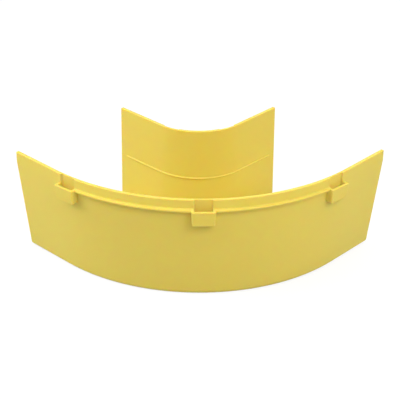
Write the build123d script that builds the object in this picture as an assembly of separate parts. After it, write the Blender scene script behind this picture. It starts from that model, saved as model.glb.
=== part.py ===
from build123d import *
import os
from math import cos, radians, sin, sqrt, tan

# Fibre raceway elbow: an open-topped duct that turns 90 degrees in the flat, moulded in one piece.
# Millimetres, +Z up. The bend turns about a vertical axis, which is the Z axis while the duct is built.
# One end of the duct faces +X and the other faces +Y.

# Duct
duct_height = 100.0
wall = 3.0
floor_thickness = 3.0
inner_bend_radius = 51.7
top_width = 126.9
leg_length = 51.8
bend_angle = 90.0
inner_wall_draft = 0.8
outer_wall_draft = 6.9
strip_height = 9.5
top_edge_radius = 0.4
end_edge_bevel = 0.3
floor_inside_radius = 3.0
floor_outside_radius = 4.5

# Bead along the channel face of each wall
bead_height = 52.0
bead_width = 2.2
bead_crest = 0.9
bead_proud = 0.8
bead_end_gap = 8.4

# Ledge that the cover sits on, between the sockets
ledge_drop = 8.5
ledge_out = 3.0
ledge_face = 2.1
cove_radius = 1.0
ledge_edge_bevel = 0.35

# Sockets for the cover's latches
outer_socket_angles = (-40.0, 0.0, 40.0)
inner_socket_angles = (-31.0, 31.0)
slot_width = 16.0
slot_depth = 5.5
recess_depth = 1.4
recess_corner_radius = 1.2
recess_edge_radius = 0.4
socket_wall = 2.0
socket_side_wall = 2.4
socket_height = 13.5
socket_draft = 3.5
socket_corner_radius = 1.2
socket_underside_bevel = 0.3
socket_rim_bevel = 0.4
slot_overrun = 2.0

# Worked out from the sizes above
outer_radius = inner_bend_radius + top_width
inner_back_radius = inner_bend_radius - wall
strip_bottom = duct_height - strip_height
ledge_top = duct_height - ledge_drop
middle_angle = 180 + bend_angle / 2
socket_width = slot_width + 2 * socket_side_wall
socket_out = slot_depth - recess_depth + socket_wall


# Radius of the outer wall's outer face at a height
def outer_face(z):
    return outer_radius - max(strip_bottom - z, 0) * tan(radians(outer_wall_draft))


# Radius of the inner wall's back, the face towards the bend's axis, at a height
def inner_back(z):
    return inner_back_radius + (duct_height - z) * tan(radians(inner_wall_draft))


# Upright plane through the bend's axis, with its x along the radius at an angle and its y along Z
def upright(angle):
    return Plane(
        origin=(0, 0, 0),
        x_dir=(cos(radians(angle)), sin(radians(angle)), 0),
        z_dir=(sin(radians(angle)), -cos(radians(angle)), 0),
    )


# Rounds the corner of a flat sketch that lies at a point
def round_corner(sketch, point, radius):
    corner = sketch.vertices().sort_by_distance(Vector(*point))[0]
    return fillet(corner, radius)


# The duct's cross-section: radius across, height up
def duct_section():
    floor_outer = (outer_face(floor_thickness) - wall, floor_thickness)
    floor_inner = (inner_back(floor_thickness) + wall, floor_thickness)
    foot_outer = (outer_face(0), 0)
    foot_inner = (inner_back(0), 0)
    outer_tops = ((outer_radius, duct_height), (outer_radius - wall, duct_height))
    inner_tops = ((inner_bend_radius, duct_height), (inner_back_radius, duct_height))
    outline = Polyline(
        foot_outer,
        (outer_radius, strip_bottom),
        *outer_tops,
        (outer_radius - wall, strip_bottom),
        floor_outer,
        floor_inner,
        *inner_tops,
        foot_inner,
        close=True,
    )
    sketch = make_face(outline)
    for point in (foot_outer, foot_inner):
        sketch = round_corner(sketch, point, floor_outside_radius)
    for point in (floor_outer, floor_inner):
        sketch = round_corner(sketch, point, floor_inside_radius)
    for point in outer_tops + inner_tops:
        sketch = round_corner(sketch, point, top_edge_radius)
    return sketch


# Runs a section along the duct's path, ending short of the duct's ends by a gap
def run_along_duct(sketch, gap=0.0):
    start = upright(180) * sketch
    leg = extrude(start, amount=leg_length - gap)
    bend = revolve(start, Axis.Z, bend_angle)
    return leg + bend + mirror(leg, about=upright(middle_angle))


# Bead on a wall's channel face, with sloping sides and round ends. It is as deep in the wall as it is proud.
def bead(face_radius, facing):
    root = face_radius - facing * bead_proud
    crest = face_radius + facing * bead_proud
    root_half = bead_width - bead_crest / 2
    crest_half = bead_crest / 2
    sketch = make_face(
        Polyline(
            (root, bead_height - root_half),
            (root, bead_height + root_half),
            (crest, bead_height + crest_half),
            (crest, bead_height - crest_half),
            close=True,
        )
    )
    place = Plane(
        origin=(-face_radius, leg_length - bead_end_gap, bead_height),
        x_dir=(0, 1, 0),
        z_dir=(-facing, 0, 0),
    )
    end = place * Cone(root_half, crest_half, 2 * bead_proud)
    return run_along_duct(sketch, bead_end_gap) + end + mirror(end, about=upright(middle_angle))


# Ledge round a wall's back, with a small cove above it, from the first socket to the last
def ledge(face_radius, facing, angles):
    root = face_radius - facing * wall / 2
    lip = face_radius + facing * ledge_out
    brow = lip - facing * ledge_edge_bevel
    cove_foot = (face_radius + facing * cove_radius, ledge_top)
    cove_top = ledge_top + cove_radius
    ledge_bottom = ledge_top - ledge_face
    cove = TangentArc((face_radius, cove_top), cove_foot, tangent=(0, -1))
    rest = Polyline(
        cove_foot,
        (brow, ledge_top),
        (lip, ledge_top - ledge_edge_bevel),
        (lip, ledge_bottom + ledge_edge_bevel),
        (brow, ledge_bottom),
        (root, ledge_bottom),
        (root, cove_top),
        (face_radius, cove_top),
    )
    sketch = make_face([cove, rest])
    return revolve(upright(middle_angle + angles[0]) * sketch, Axis.Z, angles[-1] - angles[0])


# Where a socket is: x points out of the wall's back, y runs along it and z is up
def socket_place(face_radius, facing, angle):
    turn = radians(middle_angle + angle)
    return Plane(
        origin=(face_radius * cos(turn), face_radius * sin(turn), 0),
        x_dir=(facing * cos(turn), facing * sin(turn), 0),
        z_dir=(0, 0, 1),
    )


# Tapered block that the socket is cut in, rooted in the wall, with its edges broken
def socket_block(wall_lean):
    socket_bottom = ledge_top - socket_height
    taper = socket_height * tan(radians(socket_draft))

    def level(z, inset):
        depth = socket_out - inset + wall / 2 + wall_lean(z)
        middle = socket_out - inset - depth / 2
        return Pos(middle, 0, z) * Rectangle(depth, socket_width - 2 * inset)

    block = loft([level(socket_bottom, taper), level(ledge_top, 0)])
    corners = block.edges().filter_by(lambda edge: abs(edge.tangent_at(0.5).Z) > 0.9).sort_by(Axis.X)[-2:]
    block = fillet(corners, socket_corner_radius)
    underside = block.edges().group_by(Axis.Z)[0].sort_by(Axis.X)[1:]
    block = chamfer(underside, socket_underside_bevel)
    rim = block.edges().group_by(Axis.Z)[-1].sort_by(Axis.X)[1:]
    return chamfer(rim, socket_rim_bevel)


# Upright slot through the socket, which is also the recess in the wall above it
def socket_slot(face_radius, facing):
    bottom = ledge_top - socket_height - slot_overrun
    height = duct_height + slot_overrun - bottom
    slot = Pos(-recess_depth, 0, bottom) * Box(
        2 * slot_depth, slot_width, height, align=(Align.CENTER, Align.CENTER, Align.MIN)
    )
    back_radius = face_radius - facing * recess_depth
    back = Pos(-facing * face_radius, 0, bottom) * Cylinder(
        back_radius, height, align=(Align.CENTER, Align.CENTER, Align.MIN)
    )
    slot = slot - back if facing > 0 else slot & back
    corners = slot.edges().filter_by(Axis.Z).sort_by(Axis.X)[:2]
    return fillet(corners, recess_corner_radius)


# Cutter that rounds the upright edges where a recess meets the wall's back, above the ledge
def recess_rounding(face_radius, facing):
    radius = recess_edge_radius
    edge_x = facing * (sqrt(face_radius**2 - slot_width**2 / 4) - face_radius)
    sketch = Sketch()
    for side in (-1, 1):
        edge_y = side * slot_width / 2
        square = Pos(edge_x, edge_y + side * radius / 2) * Rectangle(2 * radius, radius)
        sketch += square - Pos(edge_x - radius, edge_y + side * radius) * Circle(radius)
    return extrude(Pos(0, 0, ledge_top) * sketch, amount=duct_height + slot_overrun - ledge_top)


# The whole moulding, with the bend's axis on the Z axis
def elbow():
    body = run_along_duct(duct_section())
    ends = body.edges().group_by(Axis.X)[-1] + body.edges().group_by(Axis.Y)[-1]
    body = chamfer(ends, end_edge_bevel)
    body += bead(inner_back(bead_height) + wall, 1)
    body += bead(outer_face(bead_height) - wall, -1)
    for face_radius, facing, angles, lean in (
        (outer_radius, 1, outer_socket_angles, lambda z: outer_radius - outer_face(z)),
        (inner_back_radius, -1, inner_socket_angles, lambda z: inner_back(z) - inner_back_radius),
    ):
        places = [socket_place(face_radius, facing, angle) for angle in angles]
        body -= [place * recess_rounding(face_radius, facing) for place in places]
        body += ledge(face_radius, facing, angles)
        body += [place * socket_block(lean) for place in places]
        body -= [place * socket_slot(face_radius, facing) for place in places]
    return body


body = elbow()
box = body.bounding_box()
body = Pos(-box.center().X, -box.center().Y, -box.min.Z) * body
print("raceway_elbow:", len(body.solids()), "solid,", round(body.volume), "mm3")
os.makedirs("parts", exist_ok=True)
export_step(body, "parts/raceway_elbow.step")
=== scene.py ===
import bpy
import math
from mathutils import Matrix, Vector


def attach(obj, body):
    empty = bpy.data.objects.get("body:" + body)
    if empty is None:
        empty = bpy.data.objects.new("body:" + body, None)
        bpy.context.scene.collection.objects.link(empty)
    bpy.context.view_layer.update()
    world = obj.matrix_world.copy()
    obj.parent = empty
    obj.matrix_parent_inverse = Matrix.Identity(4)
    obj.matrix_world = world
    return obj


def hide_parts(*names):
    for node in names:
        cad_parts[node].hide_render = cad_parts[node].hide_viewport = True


# Yellow fibre raceway elbow, one moulded piece on a pale floor. Metres, same frame as the CAD part.

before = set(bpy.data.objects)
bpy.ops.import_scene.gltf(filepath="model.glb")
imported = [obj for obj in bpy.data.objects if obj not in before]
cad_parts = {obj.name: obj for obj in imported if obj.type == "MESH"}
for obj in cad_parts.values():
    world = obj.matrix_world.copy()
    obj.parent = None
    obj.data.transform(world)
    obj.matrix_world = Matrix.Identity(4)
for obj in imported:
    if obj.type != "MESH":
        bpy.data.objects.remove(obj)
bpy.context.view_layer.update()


def deselectAll():
    bpy.ops.object.select_all(action="DESELECT")


def makeActive(piece):
    deselectAll()
    piece.select_set(True)
    bpy.context.view_layer.objects.active = piece


# Small helper for node materials: adds a node, fills in its sockets and links what is given as an output
def addNode(tree, kind, place, **values):
    node = tree.nodes.new(kind)
    node.location = place
    for name, value in values.items():
        socket = node.inputs[name.replace("_", " ")]
        if isinstance(value, bpy.types.NodeSocket):
            tree.links.new(value, socket)
        else:
            socket.default_value = value
    return node


# Passes from one plain colour to another by a factor that another node gives
def addColourMix(tree, place, factor, first, second):
    mix = addNode(tree, "ShaderNodeMix", place)
    mix.data_type = "RGBA"
    tree.links.new(factor, mix.inputs["Factor"])
    mix.inputs["A"].default_value = first
    mix.inputs["B"].default_value = second
    return mix.outputs["Result"]


# 1 for what the camera sees, straight or in a reflection, and 0 for the light that surfaces pass on
def addSeenByEye(tree, place):
    rays = addNode(tree, "ShaderNodeLightPath", (place[0] - 600, place[1]))
    seen = rays.outputs["Is Camera Ray"]
    for step, name in enumerate(("Is Glossy Ray", "Is Transmission Ray")):
        larger = addNode(tree, "ShaderNodeMath", (place[0] - 400 + 200 * step, place[1]))
        larger.operation = "MAXIMUM"
        tree.links.new(seen, larger.inputs[0])
        tree.links.new(rays.outputs[name], larger.inputs[1])
        seen = larger.outputs["Value"]
    return seen


# Moulded plastic: near even colour, fine mould grain, soft satin gloss
plastic = {
    "name": "yellow_moulded_plastic",
    "colour": (0.716, 0.583, 0.107, 1.0),
    "colourPale": (0.730, 0.597, 0.113, 1.0),
    "cloudScale": 22.0,       # slow drift of colour, about 45 mm across
    "cloudDetail": 3.0,
    "grainScale": 2600.0,     # mould grain, about 0.4 mm across
    "grainDetail": 2.0,
    "grainHeight": 0.00002,
    "grainStrength": 0.25,
    "rippleScale": 60.0,      # faint waves of the moulded skin, about 17 mm long
    "rippleDetail": 1.0,
    "rippleHeight": 0.00012,
    "rippleStrength": 0.12,
    "roughLow": 0.52,
    "roughHigh": 0.62,
    "ior": 1.49,
    "specular": 0.15,         # dull for its index, as the skin is finely grained
    "underSkin": 0.9,         # share of the light that passes under the skin
    "underSkinReach": 0.003,
    "reachByColour": (1.0, 0.4, 0.1),    # red passes the furthest, which warms the shadows
}


def makePlastic():
    material = bpy.data.materials.new(plastic["name"])
    material.use_nodes = True
    tree = material.node_tree
    tree.nodes.clear()
    place = addNode(tree, "ShaderNodeTexCoord", (-1200, 0)).outputs["Object"]
    cloud = addNode(
        tree, "ShaderNodeTexNoise", (-900, 300), Vector=place,
        Scale=plastic["cloudScale"], Detail=plastic["cloudDetail"],
    )
    grain = addNode(
        tree, "ShaderNodeTexNoise", (-900, -200), Vector=place,
        Scale=plastic["grainScale"], Detail=plastic["grainDetail"],
    )
    ripple = addNode(
        tree, "ShaderNodeTexNoise", (-900, -500), Vector=place,
        Scale=plastic["rippleScale"], Detail=plastic["rippleDetail"],
    )
    tint = addColourMix(tree, (-500, 300), cloud.outputs["Fac"], plastic["colour"], plastic["colourPale"])
    gloss = addNode(
        tree, "ShaderNodeMapRange", (-500, 0), Value=grain.outputs["Fac"],
        To_Min=plastic["roughLow"], To_Max=plastic["roughHigh"],
    )
    waves = addNode(
        tree, "ShaderNodeBump", (-500, -500), Height=ripple.outputs["Fac"],
        Distance=plastic["rippleHeight"], Strength=plastic["rippleStrength"],
    )
    skin = addNode(
        tree, "ShaderNodeBump", (-250, -300), Height=grain.outputs["Fac"], Normal=waves.outputs["Normal"],
        Distance=plastic["grainHeight"], Strength=plastic["grainStrength"],
    )
    shader = addNode(
        tree, "ShaderNodeBsdfPrincipled", (0, 0), Base_Color=tint,
        Roughness=gloss.outputs["Result"], IOR=plastic["ior"], Specular_IOR_Level=plastic["specular"],
        Normal=skin.outputs["Normal"], Subsurface_Weight=plastic["underSkin"],
        Subsurface_Scale=plastic["underSkinReach"], Subsurface_Radius=plastic["reachByColour"],
    )
    addNode(tree, "ShaderNodeOutputMaterial", (350, 0), Surface=shader.outputs["BSDF"])
    print("plastic:", material.name)
    return material


# The elbow: the CAD node's shape with its doubles merged and its normals smoothed
elbow = {
    "node": "raceway_elbow",
    "piece": "elbow_moulding",
    "body": "root",
    "slot": "body",
    "mergeDistance": 0.000001,
    "creaseAngle": 32.0,
    "crestLow": 0.0514,       # the crests of both walls' beads lie between these heights
    "crestHigh": 0.0526,
}


# Shades the edges of the beads' crests soft, as they are moulded. No other edge lies between their heights.
def softenBeads(piece):
    mesh = piece.data
    bpy.ops.object.mode_set(mode="EDIT")
    bpy.ops.mesh.select_mode(type="EDGE")
    bpy.ops.mesh.select_all(action="DESELECT")
    bpy.ops.object.mode_set(mode="OBJECT")
    for edge in mesh.edges:
        heights = [mesh.vertices[corner].co.z for corner in edge.vertices]
        edge.select = min(heights) > elbow["crestLow"] and max(heights) < elbow["crestHigh"]
    print("bead edges:", sum(edge.select for edge in mesh.edges))
    bpy.ops.object.mode_set(mode="EDIT")
    bpy.ops.mesh.mark_sharp(clear=True)
    bpy.ops.object.mode_set(mode="OBJECT")


def makeElbow(material):
    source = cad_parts[elbow["node"]]
    piece = bpy.data.objects.new(elbow["piece"], source.data.copy())
    bpy.context.scene.collection.objects.link(piece)
    makeActive(piece)
    bpy.ops.mesh.customdata_custom_splitnormals_clear()
    bpy.ops.object.mode_set(mode="EDIT")
    bpy.ops.mesh.select_all(action="SELECT")
    bpy.ops.mesh.remove_doubles(threshold=elbow["mergeDistance"])
    bpy.ops.object.mode_set(mode="OBJECT")
    bpy.ops.object.shade_smooth_by_angle(angle=math.radians(elbow["creaseAngle"]))
    softenBeads(piece)
    weighted = piece.modifiers.new("weighted normals", "WEIGHTED_NORMAL")
    weighted.keep_sharp = True
    bpy.ops.object.modifier_apply(modifier=weighted.name)
    piece.data.materials.clear()
    piece.data.materials.append(material)
    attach(piece, elbow["body"])
    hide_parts(elbow["node"])
    print("elbow:", len(piece.data.polygons), "triangles")


makeElbow(makePlastic())

# Floor: white to the camera, with the elbow's soft shadow kept
floor = {
    "name": "floor",
    "size": 8.0,
    "drop": 0.0001,           # just under the elbow's flat base
    "colour": (1.0, 1.0, 1.0, 1.0),
    "colourInShade": (0.45, 0.45, 0.45, 1.0),    # what it bounces up onto the elbow
    "white": (1.0, 1.0, 1.0, 1.0),
    "whiteStrength": 1.0,
    "whiteShare": 0.8,        # how much of what the camera sees of it is plain white
}


def makeFloor():
    deselectAll()
    bpy.ops.mesh.primitive_plane_add(size=floor["size"], location=(0, 0, -floor["drop"]))
    piece = bpy.context.active_object
    piece.name = floor["name"]
    material = bpy.data.materials.new(floor["name"])
    material.use_nodes = True
    material.cycles.emission_sampling = "NONE"    # so that glossy surfaces mirror all of its white
    tree = material.node_tree
    tree.nodes.clear()
    seen = addSeenByEye(tree, (-600, 200))
    share = addNode(tree, "ShaderNodeMath", (-350, 200))
    share.operation = "MULTIPLY"
    tree.links.new(seen, share.inputs[0])
    share.inputs[1].default_value = floor["whiteShare"]
    shade = addColourMix(tree, (-550, 0), seen, floor["colourInShade"], floor["colour"])
    plain = addNode(tree, "ShaderNodeBsdfDiffuse", (-350, 0), Color=shade)
    white = addNode(
        tree, "ShaderNodeEmission", (-350, -200), Color=floor["white"], Strength=floor["whiteStrength"],
    )
    both = addNode(tree, "ShaderNodeMixShader", (-100, 0))
    tree.links.new(share.outputs["Value"], both.inputs[0])
    tree.links.new(plain.outputs["BSDF"], both.inputs[1])
    tree.links.new(white.outputs["Emission"], both.inputs[2])
    addNode(tree, "ShaderNodeOutputMaterial", (150, 0), Surface=both.outputs["Shader"])
    piece.data.materials.append(material)
    print("floor:", floor["size"], "m square")


makeFloor()

# Camera at the photograph's angle, for a 400 by 400 picture
view = {
    "azimuth": -46.768,
    "elevation": 29.406,
    "roll": 0.556,
    "distance": 1.1174,
    "aim": (0.005908, 0.006058, 0.04787),
    "lens": 110.67,
    "sensor": 36.0,
    "clipEnd": 20.0,          # past the far edge of the floor
}


# Direction from the elbow out to something at an azimuth and elevation, given as the camera's own are
def outward(azimuth, elevation):
    turn = math.radians(azimuth)
    rise = math.radians(elevation)
    return Vector((math.sin(turn) * math.cos(rise), -math.cos(turn) * math.cos(rise), math.sin(rise)))


def makeCamera():
    back = outward(view["azimuth"], view["elevation"])
    turn = math.radians(view["azimuth"])
    right = Vector((math.cos(turn), math.sin(turn), 0))
    up = back.cross(right)
    roll = math.radians(view["roll"])
    turnedRight = right * math.cos(roll) + up * math.sin(roll)
    turnedUp = up * math.cos(roll) - right * math.sin(roll)
    place = Vector(view["aim"]) + back * view["distance"]
    bpy.ops.object.camera_add()
    camera = bpy.context.active_object
    camera.name = "camera"
    axes = Matrix((turnedRight, turnedUp, back)).transposed()
    camera.matrix_world = Matrix.Translation(place) @ axes.to_4x4()
    camera.data.lens = view["lens"]
    camera.data.sensor_width = view["sensor"]
    camera.data.clip_end = view["clipEnd"]
    bpy.context.scene.camera = camera
    print("camera: lens", view["lens"], "mm at", view["distance"], "m")


makeCamera()

# Studio: pale surroundings, and soft boxes that are stronger at the sides than in front
studio = {
    "surroundings": (1.0, 1.0, 1.0, 1.0),
    "surroundingsStrength": 0.37,
    "backdrop": (1.0, 1.0, 1.0, 1.0),    # what the camera and reflections see of the surroundings
    "backdropStrength": 1.0,
    "target": (0.0, 0.0, 0.04),
    "distance": 1.6,
    "boxSize": 0.9,
    "softBoxes": (
        # name, azimuth from the camera, elevation, watts
        ("far_left", -110.0, 25.0, 6.0),
        ("left", -80.0, 35.0, 11.4),
        ("front_left", -50.0, 45.0, 3.1),
        ("front_right", 20.0, 45.0, 8.4),
        ("near_right", 50.0, 40.0, 9.4),
        ("right", 80.0, 35.0, 1.0),
        ("far_right", 140.0, 45.0, 5.7),
    ),
}


def makeSurroundings():
    world = bpy.data.worlds.new("studio")
    bpy.context.scene.world = world
    world.use_nodes = True
    tree = world.node_tree
    tree.nodes.clear()
    seen = addSeenByEye(tree, (-600, 200))
    ambient = addNode(
        tree, "ShaderNodeBackground", (-300, 0),
        Color=studio["surroundings"], Strength=studio["surroundingsStrength"],
    )
    white = addNode(
        tree, "ShaderNodeBackground", (-300, -200),
        Color=studio["backdrop"], Strength=studio["backdropStrength"],
    )
    both = addNode(tree, "ShaderNodeMixShader", (-50, 0))
    tree.links.new(seen, both.inputs[0])
    tree.links.new(ambient.outputs["Background"], both.inputs[1])
    tree.links.new(white.outputs["Background"], both.inputs[2])
    addNode(tree, "ShaderNodeOutputWorld", (200, 0), Surface=both.outputs["Shader"])


def makeSoftBoxes():
    target = Vector(studio["target"])
    for name, turn, elevation, watts in studio["softBoxes"]:
        away = outward(view["azimuth"] + turn, elevation)
        bpy.ops.object.light_add(type="AREA", location=target + away * studio["distance"])
        lamp = bpy.context.active_object
        lamp.name = "soft_box_" + name
        lamp.rotation_euler = away.to_track_quat("Z", "Y").to_euler()
        lamp.data.shape = "DISK"
        lamp.data.size = studio["boxSize"]
        lamp.data.energy = watts
    print("studio:", len(studio["softBoxes"]), "soft boxes")


makeSurroundings()
makeSoftBoxes()

bpy.context.scene.view_settings.view_transform = "Standard"
